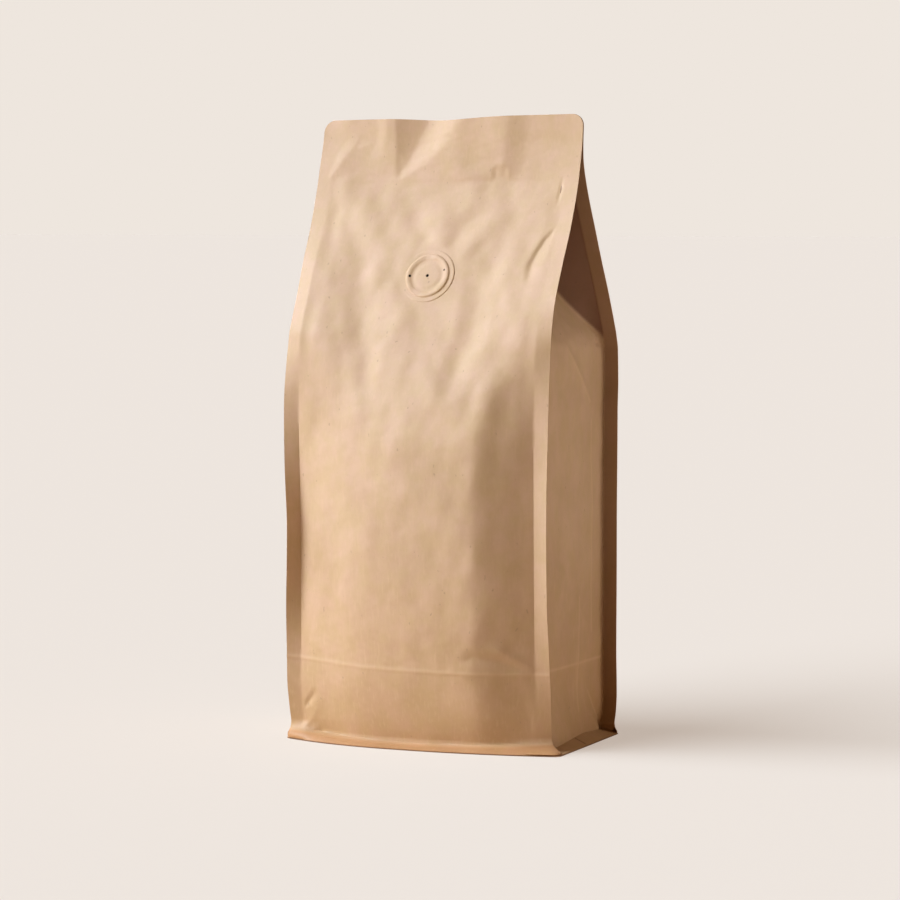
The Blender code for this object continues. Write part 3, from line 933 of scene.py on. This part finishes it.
def studio_world(look):
    """The room's soft light on the bag, and the plain backdrop behind it."""
    world = bpy.data.worlds.new("studio")
    world.use_nodes = True
    tree = world.node_tree
    towards = tree.nodes.new("ShaderNodeVectorMath")
    towards.operation = "DOT_PRODUCT"
    where = tree.nodes.new("ShaderNodeTexCoord").outputs["Generated"]
    feed(tree, ((where, towards.inputs[0]), (ROOM_SIDE, towards.inputs[1])))
    side = spread(tree, towards.outputs["Value"], -0.6, 0.9)
    dim = tuple(c * DIM_SIDE for c in look.room_colour) + (1.0,)
    room = blend_colour(tree, side, dim, tuple(look.room_colour) + (1.0,))
    backdrop = tuple(look.backdrop_colour) + (1.0,)
    seen = tree.nodes.new("ShaderNodeLightPath").outputs["Is Camera Ray"]
    colour = blend_colour(tree, seen, room, backdrop)
    tree.links.new(colour, tree.nodes["Background"].inputs["Color"])
    return world


def group(name, pieces):
    """A collection that a light can be held to."""
    collection = bpy.data.collections.new(name)
    for piece in pieces:
        collection.objects.link(piece)
    return collection


# ---------------------------------------------------------------- settings


COLOUR = {"subtype": "COLOR", "size": 3, "min": 0.0, "max": 1.0}
LIGHT_COLOUR = {"subtype": "COLOR", "size": 3, "min": 0.0, "max": 2.0}
ANGLE = {"subtype": "ANGLE", "unit": "ROTATION"}


class PaperSettings(bpy.types.PropertyGroup):
    """The kraft paper that the whole bag is made of."""

    paper_colour: bpy.props.FloatVectorProperty(
        name="Paper colour",
        description="Colour of the unbleached kraft paper",
        default=(0.575, 0.385, 0.225),
        **COLOUR,
    )
    paper_roughness: bpy.props.FloatProperty(
        name="Roughness",
        description="How matte the paper's face is",
        min=0.0,
        max=1.0,
        default=0.60,
    )
    sheet_thickness: bpy.props.FloatProperty(
        name="Laminate thickness",
        description="Thickness of one web of laminate",
        subtype="DISTANCE",
        unit="LENGTH",
        min=0.0001,
        max=0.0005,
        default=SHEET * MM,
    )


class StageSettings(bpy.types.PropertyGroup):
    """The studio round the bag."""

    floor_colour: bpy.props.FloatVectorProperty(
        name="Floor colour",
        description="Colour of the studio floor under the light",
        default=(0.28, 0.28, 0.28),
        **COLOUR,
    )
    floor_glow: bpy.props.FloatVectorProperty(
        name="Floor glow",
        description="Light that the floor gives off itself, which keeps shadows pale",
        default=(0.50, 0.432, 0.380),
        **COLOUR,
    )
    floor_bounce: bpy.props.FloatVectorProperty(
        name="Floor bounce",
        description="Warm light that the floor throws up onto the bag",
        default=(0.28, 0.150, 0.046),
        **COLOUR,
    )
    backdrop_colour: bpy.props.FloatVectorProperty(
        name="Backdrop colour",
        description="Colour seen behind the bag",
        default=(0.855, 0.791, 0.730),
        **COLOUR,
    )
    room_colour: bpy.props.FloatVectorProperty(
        name="Room light",
        description="Colour and strength of the light that comes from the whole room",
        default=(0.215, 0.132, 0.058),
        **COLOUR,
    )
    floor_light: bpy.props.FloatProperty(
        name="Floor light",
        description="Strength of the light that throws the bag's shadow on the floor",
        min=0.0,
        default=8.15,
    )
    fill_strength: bpy.props.FloatProperty(
        name="Fill light",
        description="Strength of the weak light behind the bag's right side",
        min=0.0,
        default=0.74,
    )
    fill_colour: bpy.props.FloatVectorProperty(
        name="Fill colour",
        description="Colour of the weak light behind the bag's right side",
        default=(1.0, 0.9, 0.8),
        **LIGHT_COLOUR,
    )
    key_strength: bpy.props.FloatProperty(
        name="Key light",
        description="Strength of the large soft light at the left",
        min=0.0,
        default=4.97,
    )
    key_colour: bpy.props.FloatVectorProperty(
        name="Key colour",
        description="Colour of the large soft light",
        default=(0.895, 1.0, 1.15),
        **LIGHT_COLOUR,
    )
    key_softness: bpy.props.FloatProperty(
        name="Key softness",
        description="Width of the key light as the bag sees it",
        min=0.0,
        max=math.pi,
        default=math.radians(35),
        **ANGLE,
    )
    key_turn: bpy.props.FloatProperty(
        name="Key direction",
        description="Where the key light stands, turned from straight ahead of the bag towards its left",
        default=math.radians(57),
        **ANGLE,
    )
    key_height: bpy.props.FloatProperty(
        name="Key height",
        description="How high the key light stands above the floor, as an angle",
        default=math.radians(33),
        **ANGLE,
    )


# ---------------------------------------------------------------- operators


def keep(piece, node):
    """Makes a piece ride on the bag and stand for its part of the solid."""
    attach(piece, "root")
    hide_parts(node)


def panel_piece(context, name, side, relief):
    """The front (-1) or back (1) web, with its worn paper and the painted shade of its base seal band
    marked.
    """
    points, worn = panel_web(side, relief)
    thickness = context.scene.bag_paper.sheet_thickness / MM
    piece = sheet_piece(name, points, thickness, paper_material(), flip=side > 0)
    add_mark(piece, "worn", worn)
    add_mark(piece, "base_band_shade", base_band_shade_mark(points))
    keep(piece, "pouch")


class COFFEEBAG_OT_front_web(bpy.types.Operator):
    """Make the front panel with its corner seals, puckers and creases"""

    bl_idname = "coffee_bag.front_web"
    bl_label = "Front web"

    def execute(self, context):
        panel_piece(context, "front_web", -1, front_relief)
        return {"FINISHED"}


class COFFEEBAG_OT_back_web(bpy.types.Operator):
    """Make the back panel with its corner seals"""

    bl_idname = "coffee_bag.back_web"
    bl_label = "Back web"

    def execute(self, context):
        panel_piece(context, "back_web", 1, back_relief)
        return {"FINISHED"}


class COFFEEBAG_OT_gussets(bpy.types.Operator):
    """Make the two side gussets, tucked in under the top seal"""

    bl_idname = "coffee_bag.gussets"
    bl_label = "Side gussets"

    def execute(self, context):
        thickness = context.scene.bag_paper.sheet_thickness / MM
        sides = (("gusset_right", 1, RIGHT_CREASES, 21), ("gusset_left", -1, LEFT_CREASES, 31))
        for name, hand, creases, seed in sides:
            points, worn, tuck_shade = gusset_web(hand, gusset_relief(creases, seed))
            piece = sheet_piece(name, points, thickness, paper_material(), flip=hand < 0)
            add_mark(piece, "worn", worn)
            # Painted shade in the tuck, the flap's slit and behind the seals
            add_mark(piece, "tuck", tuck_shade_mark(tuck_shade))
            keep(piece, "pouch")
        return {"FINISHED"}


BASE_SHEET = 0.22


def base_grid():
    """Grid of the base sheet, rounded at its corners, and how far each point is from its edge."""
    a, b = np.meshgrid(np.linspace(-1, 1, 137), np.linspace(-1, 1, 83))
    width, depth, corner = FOOT_HALF_WIDTH + 0.2, FOOT_HALF_DEPTH + 0.1, FOOT_CORNER
    x, y = a * width, b * depth
    over_x = np.clip(np.abs(x) - (width - corner), 0, corner) / corner
    over_y = np.clip(np.abs(y) - (depth - corner), 0, corner) / corner
    both = np.hypot(over_x, over_y)
    largest = np.maximum(over_x, over_y)
    pull = np.where(both > 1e-9, largest / np.maximum(both, 1e-9), 1)
    x = np.sign(x) * (np.minimum(np.abs(x), width - corner) + over_x * pull * corner)
    y = np.sign(y) * (np.minimum(np.abs(y), depth - corner) + over_y * pull * corner)
    inside_edge = np.minimum(width - np.abs(x), depth - np.abs(y))
    z = 0.27 + ease(0, 9, inside_edge) * (0.25 + 0.12 * ripple(x, y, 30, 41))
    x, y = foot_splay(x, y)
    return np.stack((x, y, z), axis=2), inside_edge


class COFFEEBAG_OT_base_web(bpy.types.Operator):
    """Make the flat base sheet"""

    bl_idname = "coffee_bag.base_web"
    bl_label = "Base web"

    def execute(self, context):
        points, inside_edge = base_grid()
        piece = sheet_piece("base_web", points, BASE_SHEET, paper_material())
        # Painted shadow: the base sheet's rim, where it meets the floor, gets the same dark shade as the
        # tucks
        add_mark(piece, "tuck", 0.9 * ease(0.7, 0.2, inside_edge))
        keep(piece, "pouch")
        return {"FINISHED"}


# The valve's face: a shallow disc in the middle, a rounded ring round it and a flat rim
valve_profile = curve(
    (0.0, 0.24), (4.5, 0.22), (6.4, 0.08), (7.2, 0.18), (8.0, 0.46), (8.9, 0.58), (9.5, 0.46),
    (9.9, 0.10), (10.3, 0.07), (11.5, 0.10), (11.9, 0.02), (12.1, -0.5), (12.2, -0.9),
)  # fmt: skip
VALVE_RADIUS = 12.2
VALVE_UNDERSIDE = -0.9
VALVE_SEGMENTS = 240
# Vent holes: how far out, in which direction and their radius
VALVE_HOLES = ((0, 0, 0.64), (7.9, 181, 0.54), (7.6, 20, 0.36))
HOLE_DEPTH = 0.14


def valve_relief(r, angle):
    """Height of the valve's face, and how far into a vent hole each point is, for the hole's painted shade.
    """
    px, py = r * np.cos(angle), r * np.sin(angle)
    height = valve_profile(r) + 0.07 * ripple(px, py, 11, 51) * ease(0, 4, 12 - r)
    # The ring dies away where the film is stretched smooth, above and at the lower left
    ring = np.exp(-(((r - 8.7) / 1.1) ** 2))
    turn = np.degrees(angle)
    gap = ease(26, 6, np.abs(turn - 97)) + ease(30, 8, np.abs(turn - 243))
    height = height - 0.30 * ring * gap
    dark = np.zeros(r.shape)
    for distance, direction, size in VALVE_HOLES:
        hole_x = distance * math.cos(math.radians(direction))
        hole_y = distance * math.sin(math.radians(direction))
        away = np.hypot(px - hole_x, py - hole_y)
        height = height - HOLE_DEPTH * (1 - ease(size * 0.8, size * 1.1, away))
        dark = np.maximum(dark, 1 - ease(size * 0.95, size * 1.15, away))
    return height, dark


def valve_grid():
    """Points of the valve in the slope of the front panel, its hole marks and its faces."""
    low, middle, high = front_middle(np.array([VALVE_Z - 8, VALVE_Z, VALVE_Z + 8]))
    up = np.array([0.0, (high - low) / 16.0, 1.0])
    up = up / np.linalg.norm(up)
    across = np.array([1.0, 0.0, 0.0])
    outward = np.cross(across, up)
    centre = np.array([VALVE_X, middle, VALVE_Z]) + outward * 0.05
    outer = np.concatenate((np.linspace(0.15, 11.4, 66), np.linspace(11.5, VALVE_RADIUS, 8)))
    radii = np.concatenate((outer, np.linspace(11.8, 0.3, 12)))
    angles = np.arange(VALVE_SEGMENTS) / VALVE_SEGMENTS * 2 * math.pi
    r, angle = np.meshgrid(radii, angles, indexing="ij")
    height, dark = valve_relief(r, angle)
    height[len(outer) :] = VALVE_UNDERSIDE
    dark[len(outer) :] = 0
    px, py = (r * np.cos(angle))[..., None], (r * np.sin(angle))[..., None]
    points = lean_back(centre + px * across + py * up + height[..., None] * outward)
    rows, columns = r.shape
    i, j = np.meshgrid(np.arange(rows - 1), np.arange(columns), indexing="ij")
    a = (i * columns + j).ravel()
    b = (i * columns + (j + 1) % columns).ravel()
    faces = np.stack((a, a + columns, b + columns, b), axis=1)
    return points.reshape(-1, 3), dark, faces


class COFFEEBAG_OT_valve(bpy.types.Operator):
    """Make the one-way valve that is pressed into the front panel"""

    bl_idname = "coffee_bag.valve"
    bl_label = "Valve"

    def execute(self, context):
        points, dark, faces = valve_grid()
        piece = new_piece("valve_face", points, faces, valve_material())
        close_ends(piece)
        # Marks where the vent holes' painted shade goes
        add_mark(piece, "hole", dark, copies=1)
        keep(piece, "valve")
        return {"FINISHED"}


FLOOR_LIGHT_COLOUR = (0.95, 1.0, 1.03)


class COFFEEBAG_OT_stage(bpy.types.Operator):
    """Set the floor, the backdrop, the lights and the camera"""

    bl_idname = "coffee_bag.stage"
    bl_label = "Stage"

    def execute(self, context):
        look, scene = context.scene.bag_stage, context.scene
        scene.view_settings.view_transform = "Standard"
        bpy.ops.mesh.primitive_grid_add(x_subdivisions=40, y_subdivisions=40, size=60)
        floor = context.active_object
        floor.name = "floor"
        floor.data.materials.append(floor_material(look))
        scene.world = studio_world(look)

        meshes = [piece for piece in scene.collection.objects if piece.type == "MESH"]
        bag = group("bag_pieces", [piece for piece in meshes if piece is not floor])
        ground = group("ground", [floor])
        soft, height, turn = look.key_softness, look.key_height, look.key_turn
        soft_light("key_light", look.key_strength, look.key_colour, soft, height, turn, bag)
        soft, turn = math.radians(36), math.radians(-117)
        soft_light("fill_light", look.fill_strength, look.fill_colour, soft, 0.25, turn, bag)
        soft, height, turn = math.radians(70), math.radians(27), math.radians(49)
        soft_light("floor_light", look.floor_light, FLOOR_LIGHT_COLOUR, soft, height, turn, ground)

        camera = bpy.data.cameras.new("camera")
        camera.lens = 149.5
        camera.sensor_width = 36
        camera.clip_end = 200
        seen_from = bpy.data.objects.new("camera", camera)
        scene.collection.objects.link(seen_from)
        seen_from.location = (0.66135, -1.42031, 0.2206)
        seen_from.rotation_euler = (math.radians(90 - 3.644), 0, math.radians(25.016))
        scene.camera = seen_from
        return {"FINISHED"}


class COFFEEBAG_PT_panel(bpy.types.Panel):
    """Buttons and settings of the coffee bag"""

    bl_idname = "COFFEEBAG_PT_panel"
    bl_label = "Coffee Bag"
    bl_space_type = "VIEW_3D"
    bl_region_type = "UI"
    bl_category = "Coffee Bag"

    def draw(self, context):
        layout = self.layout
        for operator in OPERATORS:
            layout.operator(operator.bl_idname)
        for settings in (context.scene.bag_paper, context.scene.bag_stage):
            for name in settings.__annotations__:
                layout.prop(settings, name)


OPERATORS = (
    COFFEEBAG_OT_front_web,
    COFFEEBAG_OT_back_web,
    COFFEEBAG_OT_gussets,
    COFFEEBAG_OT_base_web,
    COFFEEBAG_OT_valve,
    COFFEEBAG_OT_stage,
)
CLASSES = (PaperSettings, StageSettings, *OPERATORS, COFFEEBAG_PT_panel)


def register():
    for cls in CLASSES:
        bpy.utils.register_class(cls)
    bpy.types.Scene.bag_paper = bpy.props.PointerProperty(type=PaperSettings)
    bpy.types.Scene.bag_stage = bpy.props.PointerProperty(type=StageSettings)


def unregister():
    del bpy.types.Scene.bag_stage
    del bpy.types.Scene.bag_paper
    for cls in reversed(CLASSES):
        bpy.utils.unregister_class(cls)


def main():
    register()
    bpy.ops.coffee_bag.front_web()
    bpy.ops.coffee_bag.back_web()
    bpy.ops.coffee_bag.gussets()
    bpy.ops.coffee_bag.base_web()
    bpy.ops.coffee_bag.valve()
    bpy.ops.coffee_bag.stage()


if __name__ == "__main__":
    main()
